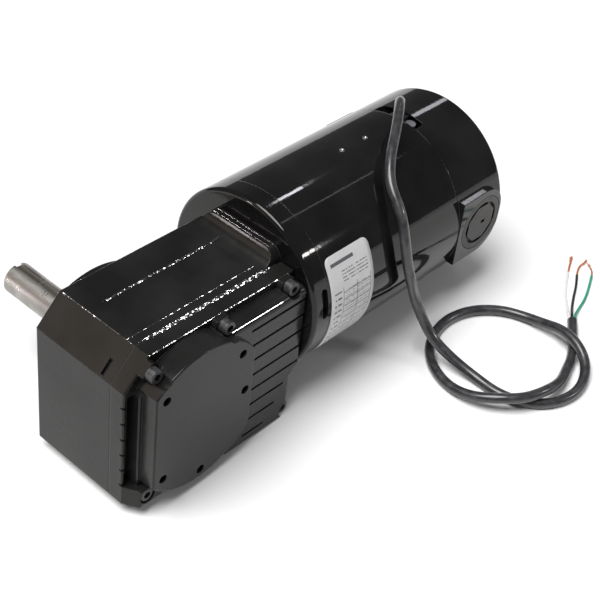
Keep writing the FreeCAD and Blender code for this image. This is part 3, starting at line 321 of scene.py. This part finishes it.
def steel(name, color, roughness, stretch):
    """Turned or ground metal, with its tool marks running across the stretch."""
    material, tree, shader, where = new_material(name, color, roughness, 1.0)
    marks = noise(tree, where, 1600.0, 2.0, stretch)
    stain = noise(tree, where, 90.0, 5.0)
    tone = blend_colors(tree, spread(tree, stain, 0.35, 0.7), color, darken(color, 0.62))
    feed(tree, shader, tone,
         bump(tree, marks, 0.00003, 1.0, rounded_normal(tree, 0.0002)),
         spread(tree, stain, 0.3, 0.75, roughness, roughness * 1.7))
    return material


def laminations():
    material, tree, shader, where = new_material("laminations", (0.25, 0.25, 0.26), 0.45, 1.0)
    wave = tree.nodes.new("ShaderNodeTexWave")
    wave.inputs["Scale"].default_value = 320.0
    tree.links.new(where, wave.inputs["Vector"])
    feed(tree, shader,
         blend_colors(tree, wave.outputs["Fac"], (0.30, 0.30, 0.31), (0.10, 0.09, 0.09)),
         bump(tree, wave.outputs["Fac"], 0.00008))
    return material


def dull(name, color, roughness, scale, relief, contrast=0.35):
    """A rubber, plastic, fibre or carbon surface with a mottled tone and a fine grain."""
    material, tree, shader, where = new_material(name, color, roughness)
    grain = noise(tree, where, scale, 5.0)
    darker = darken(color, 1.0 - contrast)
    feed(tree, shader, blend_colors(tree, spread(tree, grain, 0.3, 0.7), darker, color),
         bump(tree, grain, relief, 1.0, rounded_normal(tree, 0.0003)),
         spread(tree, grain, 0.2, 0.8, roughness * 0.8, roughness * 1.2))
    return material


def winding_copper(name, color, roughness, scale):
    material, tree, shader, where = new_material(name, color, roughness, 1.0)
    turns = noise(tree, where, scale, 2.0, (6.0, 1.0, 1.0))
    feed(tree, shader, blend_colors(tree, turns, darken(color, 0.5), color),
         bump(tree, turns, 0.0002))
    return material


def jacket(name, color, roughness, coat, streak=None):
    """Extruded cable plastic: a soft sheen with faint scuffs."""
    material, tree, shader, where = new_material(name, color, roughness)
    shader.inputs["Coat Weight"].default_value = coat
    shader.inputs["Coat Roughness"].default_value = 0.12
    scuff = noise(tree, where, 240.0, 5.0)
    other = streak or tuple(c * 1.7 for c in color)
    feed(tree, shader, blend_colors(tree, spread(tree, scuff, 0.45, 0.75), color, other),
         bump(tree, noise(tree, where, 420.0, 3.0), 0.00006),
         spread(tree, scuff, 0.3, 0.7, roughness * 0.8, roughness * 1.3))
    return material


def inside(tree, value, low, high):
    """1 where the value lies between the two limits."""
    above = math_node(tree, "GREATER_THAN", value, low)
    return math_node(tree, "MULTIPLY", above, math_node(tree, "LESS_THAN", value, high))


def both(tree, first, second):
    return math_node(tree, "MULTIPLY", first, second)


def area(tree, u, v, limits):
    left, right, low, high = limits
    return both(tree, inside(tree, u, left, right), inside(tree, v, low, high))


def either(tree, masks):
    result = masks[0]
    for mask in masks[1:]:
        result = math_node(tree, "MAXIMUM", result, mask)
    return result


def dashes(tree, u, v, rows, scale):
    """Broken short strokes in evenly spaced rows."""
    row = math_node(tree, "MULTIPLY", v, rows)
    stroke = inside(tree, math_node(tree, "FRACT", row, 0.0), 0.34, 0.66)
    spot = tree.nodes.new("ShaderNodeCombineXYZ")
    tree.links.new(math_node(tree, "MULTIPLY", u, scale), spot.inputs["X"])
    line = math_node(tree, "MULTIPLY", math_node(tree, "FLOOR", row, 0.0), 7.3)
    tree.links.new(line, spot.inputs["Y"])
    breaks = tree.nodes.new("ShaderNodeTexNoise")
    breaks.inputs["Scale"].default_value = 1.0
    tree.links.new(spot.outputs["Vector"], breaks.inputs["Vector"])
    return both(tree, stroke, math_node(tree, "GREATER_THAN", breaks.outputs["Fac"], 0.47))


def label_print():
    """A white label with one dark header bar, a ruled table and rows of plain strokes."""
    material, tree, shader, where = new_material("label_print", (0.55, 0.55, 0.55), 0.4)
    split = tree.nodes.new("ShaderNodeSeparateXYZ")
    tree.links.new(tree.nodes.new("ShaderNodeUVMap").outputs["UV"], split.inputs["Vector"])
    u, v = split.outputs["X"], split.outputs["Y"]
    header = area(tree, u, v, HEADER)
    notes = both(tree, area(tree, u, v, NOTES), dashes(tree, u, v, 34.0, 34.0))
    names = both(tree, area(tree, u, v, ROW_NAMES), dashes(tree, u, v, 17.0, 20.0))
    entries = both(tree, area(tree, u, v, ENTRIES), dashes(tree, u, v, 34.0, 26.0))
    row_share = math_node(tree, "FRACT", math_node(tree, "MULTIPLY", v, TABLE_ROWS), 0.0)
    rules = [inside(tree, row_share, 0.0, 0.10)] + [inside(tree, u, *side) for side in TABLE_SIDES]
    lines = both(tree, area(tree, u, v, TABLE), either(tree, rules))
    ink = either(tree, [header, notes, names, both(tree, entries, 0.7), lines])
    sheet = blend_colors(tree, noise(tree, where, 160.0, 4.0),
                         (0.50, 0.50, 0.51), (0.60, 0.60, 0.60))
    feed(tree, shader, blend_colors(tree, both(tree, ink, 0.9), sheet, (0.03, 0.03, 0.035)),
         bump(tree, noise(tree, where, 900.0), 0.00001))
    return material


def pale_floor():
    material, tree, shader, where = new_material("pale_floor", (0.86, 0.86, 0.86), 0.9)
    shade = blend_colors(tree, noise(tree, where, 3.0), (0.855, 0.855, 0.855), (0.87, 0.87, 0.87))
    tree.links.new(shade, shader.inputs["Base Color"])
    return material


def dress(material, *nodes):
    """Give CAD nodes a material."""
    for node in nodes:
        mesh = frame["nodes"][node].data
        mesh.materials.clear()
        mesh.materials.append(material)


def dress_cad_nodes():
    dress(paint("casting_paint", (0.0085, 0.0083, 0.0081), 0.17, 0.24, 0.0007, 0.00006, 0.9),
          "gearbox_housing", "gearbox_cover")
    dress(paint("motor_paint", (0.004, 0.004, 0.0041), 0.055, 0.36, 0.0006, 0.00002, 0.15),
          "motor_shell", "front_end_shield", "rear_end_cap")
    dress(paint("cover_paint", (0.006, 0.006, 0.006), 0.3, 0.3, 0.0004, 0.00006, 0.3),
          "brush_covers")
    dress(screw_black(), "cover_screws", "shield_screws", "through_bolts")
    dress(steel("shaft_steel", (0.40, 0.385, 0.36), 0.24, (1.0, 0.06, 1.0)),
          "output_shaft", "gear_key", "gear_retaining_ring", "cross_shaft", "cross_shaft_collar")
    dress(steel("motor_steel", (0.55, 0.55, 0.55), 0.24, (0.06, 1.0, 1.0)),
          "armature_shaft", "cover_dowels", "shell_pins", "brush_springs")
    dress(steel("gear_steel", (0.42, 0.41, 0.40), 0.32, (1.0, 1.0, 3.0)),
          "output_gear", "output_pinion", "worm")
    dress(steel("bearing_steel", (0.66, 0.66, 0.66), 0.12, (1.0, 1.0, 1.0)),
          "output_bearing_outer_rings", "output_bearing_inner_rings", "output_bearing_balls",
          "motor_bearing_outer_rings", "motor_bearing_inner_rings", "motor_bearing_balls")
    dress(steel("bronze", (0.58, 0.36, 0.15), 0.34, (1.0, 1.0, 2.0)),
          "worm_wheel", "cross_shaft_bushes")
    dress(laminations(), "armature_core")
    dress(winding_copper("winding_copper", (0.62, 0.26, 0.10), 0.3, 700.0), "armature_windings")
    dress(winding_copper("bar_copper", (0.80, 0.42, 0.24), 0.2, 300.0), "commutator")
    dress(dull("seal_rubber", (0.02, 0.02, 0.02), 0.5, 500.0, 0.00008),
          "output_seal", "motor_shaft_seal", "cord_grommet")
    dress(dull("gasket_fibre", (0.02, 0.019, 0.018), 0.6, 900.0, 0.0001),
          "cover_gasket", "adapter_gasket")
    dress(dull("ferrite", (0.06, 0.06, 0.062), 0.6, 700.0, 0.0001), "field_magnets")
    dress(dull("carbon", (0.03, 0.03, 0.03), 0.55, 1200.0, 0.00005), "carbon_brushes")
    dress(dull("phenolic", (0.05, 0.03, 0.02), 0.4, 600.0, 0.00003), "brush_holders")
    dress(dull("clamp_plastic", (0.22, 0.22, 0.24), 0.45, 700.0, 0.00006, 0.2), "lead_clamp")


# ---------------------------------------------------------------- label

def on_motor(along, turn, radius):
    """A point round the motor: distance along its axis, and angle from -Y towards +Z."""
    out = Vector((0.0, -math.cos(turn), 0.0)) + MOTOR_UP * math.sin(turn)
    return MOTOR_POINT + MOTOR_AXIS * along + out * radius


def corner_inset(distance_from_end):
    """How far a rounded corner draws the label's side in, near its top or bottom end."""
    short = max(0.0, LABEL_CORNER - distance_from_end)
    return LABEL_CORNER - math.sqrt(LABEL_CORNER ** 2 - short ** 2)


def build_label():
    columns, rows = 12, 60
    wide = LABEL_X[1] - LABEL_X[0]
    tall = (LABEL_TURN[1] - LABEL_TURN[0]) * LABEL_R
    mesh = bmesh.new()
    uv = mesh.loops.layers.uv.new("UVMap")
    grid = []
    shares = []
    for j in range(rows + 1):
        t = 0.5 - 0.5 * math.cos(math.pi * j / rows)
        inset = corner_inset(min(t, 1.0 - t) * tall)
        line = []
        for i in range(columns + 1):
            along = LABEL_X[0] + inset + (wide - 2.0 * inset) * i / columns
            turn = LABEL_TURN[0] + (LABEL_TURN[1] - LABEL_TURN[0]) * t
            vert = mesh.verts.new(on_motor(along, turn, LABEL_R))
            line.append(vert)
            shares.append(((along - LABEL_X[0]) / wide, t))
        grid.append(line)
    mesh.verts.index_update()
    for j in range(rows):
        for i in range(columns):
            face = mesh.faces.new((grid[j][i], grid[j][i + 1], grid[j + 1][i + 1], grid[j + 1][i]))
            face.smooth = True
            for loop in face.loops:
                loop[uv].uv = shares[loop.vert.index]
    data = bpy.data.meshes.new("label")
    mesh.to_mesh(data)
    mesh.free()
    label = bpy.data.objects.new("label", data)
    bpy.context.scene.collection.objects.link(label)
    skin = label.modifiers.new("thickness", "SOLIDIFY")
    skin.thickness = LABEL_THICK
    skin.offset = 0.0
    data.materials.append(label_print())
    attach(label, "casing")
    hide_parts("nameplate")


# ---------------------------------------------------------------- ridges of thick paint

def tilted(point):
    """A point of the level gearmotor, in millimetres, as it lies at rest."""
    x, y, z = (c / 1000.0 for c in point)
    return MOTOR_AXIS * x + Vector((0.0, 1.0, 0.0)) * y + MOTOR_UP * z


def ridge(name, corners, radius, uneven, lamp, paint_material):
    """A thin bead along straight runs, with one flat turned to show the lamp in the picture."""
    spots = [tilted(corner) for corner in corners]
    path = []
    for start, end in zip(spots, spots[1:]):
        count = max(2, round((end - start).length / RIDGE_STEP))
        path += [start.lerp(end, i / count) for i in range(count)]
    path.append(spots[-1])
    mesh = bmesh.new()
    rings = []
    for i, spot in enumerate(path):
        along = (path[min(i + 1, len(path) - 1)] - path[max(i - 1, 0)]).normalized()
        facing = (Vector(lamp) - spot).normalized() + (Vector(CAMERA_PLACE) - spot).normalized()
        facing = (facing - along * facing.dot(along)).normalized()
        side = along.cross(facing)
        thin = random.random() < RIDGE_BREAKS * uneven
        wide = radius * (RIDGE_THIN if thin else 1.0 + uneven * random.uniform(-0.4, 0.3))
        ring = []
        for k in range(RIDGE_SIDES):
            turn = 2.0 * math.pi * (k + 0.5) / RIDGE_SIDES
            proud = radius * math.cos(turn) + uneven * random.uniform(-RIDGE_WAVE, RIDGE_WAVE)
            ring.append(mesh.verts.new(spot + facing * proud + side * (wide * math.sin(turn))))
        rings.append(ring)
    for low, high in zip(rings, rings[1:]):
        for k in range(RIDGE_SIDES):
            n = (k + 1) % RIDGE_SIDES
            mesh.faces.new((low[k], low[n], high[n], high[k]))
    mesh.faces.new(list(reversed(rings[0])))
    mesh.faces.new(rings[-1])
    data = bpy.data.meshes.new(name)
    mesh.to_mesh(data)
    mesh.free()
    data.materials.append(paint_material)
    bead = bpy.data.objects.new(name, data)
    bpy.context.scene.collection.objects.link(bead)
    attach(bead, "casing")


def build_ridges():
    rough = thick_paint("rough_bead", 0.00008)
    smooth = thick_paint("smooth_bead", 0.00001)
    for i, y in enumerate(SEAM_ROWS):
        ends = [(-22.5 + 4.0 * i, y, TOP), (74.0 - 3.0 * i, y, TOP)]
        ridge("seam_ridge_" + str(i), ends, SEAM_R, SPECKLED, EDGE_LAMP, rough)
    for i, y in enumerate(PARTING_ROWS):
        corners = [(-15.0 + 2.0 * i, y, SWEEP_FOOT[1]), (SWEEP_FOOT[0], y, SWEEP_FOOT[1]),
                   (SWEEP_END[0], y, SWEEP_END[1])]
        ridge("parting_ridge_" + str(i), corners, PARTING_R, SPECKLED, EDGE_LAMP, rough)
    for name, (x0, x1), y, z, radius, uneven in RIDGES_ALONG_X:
        coat = smooth if uneven == WHOLE else rough
        ridge(name, [(x0, y, z), (x1, y, z)], radius, uneven, EDGE_LAMP, coat)
    for name, x, (y0, y1), z, radius, uneven in RIDGES_ALONG_Y:
        coat = smooth if uneven == WHOLE else rough
        ridge(name, [(x, y0, z), (x, y1, z)], radius, uneven, FRONT_LAMP, coat)


# ---------------------------------------------------------------- cord and wires

def curve_object(name, routes, radius, material):
    """One object of smooth round strands, each a spline with the route's points as its controls."""
    curve = bpy.data.curves.new(name, "CURVE")
    curve.dimensions = "3D"
    curve.bevel_depth = 1.0
    curve.bevel_resolution = 6
    curve.use_fill_caps = True
    for route in routes:
        spline = curve.splines.new("NURBS")
        spline.points.add(len(route) - 1)
        for point, place in zip(spline.points, route):
            point.co = (*place, 1.0)
            point.radius = radius
        spline.order_u = 3
        spline.use_endpoint_u = True
        spline.resolution_u = 8
    curve.materials.append(material)
    made = bpy.data.objects.new(name, curve)
    bpy.context.scene.collection.objects.link(made)
    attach(made, "casing")
    return made


def strand_routes(start, before, tip):
    """Fine strands that leave a wire's end together and fan out a little towards the tip."""
    start, before, tip = Vector(start), Vector(before), Vector(tip)
    along = (start - before).normalized()
    side = Vector((-along.y, along.x, 0.0))
    up = Vector((0.0, 0.0, 1.0))
    reach = (tip - start).length
    routes = []
    for i in range(STRANDS_PER_WIRE):
        turn = 2.0 * math.pi * i / (STRANDS_PER_WIRE - 1)
        ring = 0.0 if i == 0 else STRAND_RING
        near = side * (ring * math.cos(turn)) + up * (ring * math.sin(turn))
        fan = side * (random.uniform(-1.0, 1.0) * STRAND_FAN[0])
        fan += up * (abs(random.uniform(-0.2, 1.0)) * STRAND_FAN[1])
        short = (tip - start).normalized() * random.uniform(STRAND_SHORTEST, 0.0)
        middle = start + along * (reach * 0.45)
        late = start.lerp(tip, 0.78)
        routes.append([start - along * 0.002 + near, start + along * (reach * 0.16) + near,
                       middle.lerp(late, 0.35) + near + fan * 0.3,
                       late + near * 0.8 + fan * 0.7, tip + fan + short])
    return routes


def build_cord():
    grey = jacket("cord_jacket", (0.022, 0.022, 0.024), 0.34, 0.5, (0.05, 0.05, 0.054))
    cord = curve_object("cord", [CORD_ROUTE], CORD_R, grey)
    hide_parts("power_cord")
    skins = {"white": jacket("white_skin", (0.74, 0.74, 0.72), 0.3, 0.4, (0.60, 0.60, 0.58)),
             "black": jacket("black_skin", (0.012, 0.012, 0.013), 0.28, 0.5),
             "green": jacket("green_skin", (0.01, 0.25, 0.15), 0.3, 0.4, (0.04, 0.34, 0.22))}
    copper = steel("strand_copper", (0.98, 0.46, 0.25), 0.42, (1.0, 1.0, 1.0))
    for color, route in WIRES.items():
        wire = curve_object(color + "_wire", [route], WIRE_R, skins[color])
        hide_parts("wire_" + color)
        routes = strand_routes(route[-1], route[-2], STRAND_TIPS[color])
        strands = curve_object(color + "_strands", routes, STRAND_R, copper)
        strands.data.bevel_resolution = 2
        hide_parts("copper_end_" + color)


# ---------------------------------------------------------------- stage

def build_floor():
    bpy.ops.mesh.primitive_plane_add(size=16.0, location=(0.1, 0.0, FLOOR_Z))
    floor = bpy.context.object
    floor.name = "floor"
    floor.data.materials.append(pale_floor())


def soft_box(name, place, turn, size, radiance, color):
    light = bpy.data.lights.new(name, "AREA")
    light.shape = "RECTANGLE"
    light.size, light.size_y = size
    light.energy = radiance * math.pi * size[0] * size[1]
    light.color = color
    made = bpy.data.objects.new(name, light)
    bpy.context.scene.collection.objects.link(made)
    made.matrix_world = Matrix.Translation(Vector(place)) @ turn.to_4x4()


def strip_lamp(name, place, facing, size, radiance, color=(1.0, 1.0, 1.0)):
    """A soft box with one side along X; facing is the direction that it shines in."""
    across = Vector((1.0, 0.0, 0.0))
    behind = -Vector((0.0, facing[1], facing[2])).normalized()
    turn = Matrix((across, behind.cross(across), behind)).transposed()
    soft_box(name, place, turn, size, radiance, color)


def aimed_lamp(name, place, target, size, radiance, color):
    """A soft box that shines at a point."""
    turn = (Vector(target) - Vector(place)).to_track_quat("-Z", "Y").to_matrix()
    soft_box(name, place, turn, size, radiance, color)


def build_sun():
    sun = bpy.data.lights.new("broad_light", "SUN")
    sun.energy = SUN_STRENGTH
    sun.angle = SUN_ANGLE
    made = bpy.data.objects.new("broad_light", sun)
    bpy.context.scene.collection.objects.link(made)
    made.rotation_euler = Vector(SUN_DIRECTION).to_track_quat("-Z", "Y").to_euler()


def build_lights():
    build_sun()
    strip_lamp("edge_strip", EDGE_LAMP, (0.0, 0.9, -0.66), EDGE_LAMP_SIZE, 42.0)
    strip_lamp("shell_strip", SHELL_LAMP, (0.0, 0.1, -1.0), SHELL_LAMP_SIZE, 1.8)
    strip_lamp("rim_lamp", RIM_LAMP, (0.0, -0.3, -0.7), RIM_LAMP_SIZE, 22.0, COOL)
    strip_lamp("cap_lamp", CAP_LAMP, (0.0, -0.4, -0.5), CAP_LAMP_SIZE, 6.5, COOL)
    strip_lamp("warm_wall", WALL_LAMP, (0.0, -0.5, -0.6), WALL_LAMP_SIZE, 1.1, WARM)
    aimed_lamp("front_strip", FRONT_LAMP, FRONT_LAMP_TARGET, FRONT_LAMP_SIZE, 30.0, ROSE)
    world = bpy.data.worlds.new("studio")
    world.use_nodes = True
    background = world.node_tree.nodes["Background"]
    background.inputs["Color"].default_value = (0.97, 0.96, 1.0, 1.0)
    background.inputs["Strength"].default_value = WORLD_STRENGTH
    bpy.context.scene.world = world
    bpy.context.scene.view_settings.view_transform = "Standard"


def build_camera():
    az, el, roll = CAMERA_AZIMUTH, CAMERA_ELEVATION, CAMERA_ROLL
    back = Vector((math.sin(az) * math.cos(el), -math.cos(az) * math.cos(el), math.sin(el)))
    level_right = Vector((math.cos(az), math.sin(az), 0.0))
    level_up = back.cross(level_right)
    right = level_right * math.cos(roll) + level_up * math.sin(roll)
    up = back.cross(right)
    data = bpy.data.cameras.new("camera")
    data.lens = CAMERA_LENS
    data.sensor_width = 36.0
    data.clip_start = 0.01
    data.clip_end = 50.0
    camera = bpy.data.objects.new("camera", data)
    bpy.context.scene.collection.objects.link(camera)
    turn = Matrix((right, up, back)).transposed().to_4x4()
    camera.matrix_world = Matrix.Translation(Vector(CAMERA_PLACE)) @ turn
    bpy.context.scene.camera = camera


random.seed(7)
dress_cad_nodes()
build_label()
build_ridges()
build_cord()
build_floor()
build_lights()
build_camera()
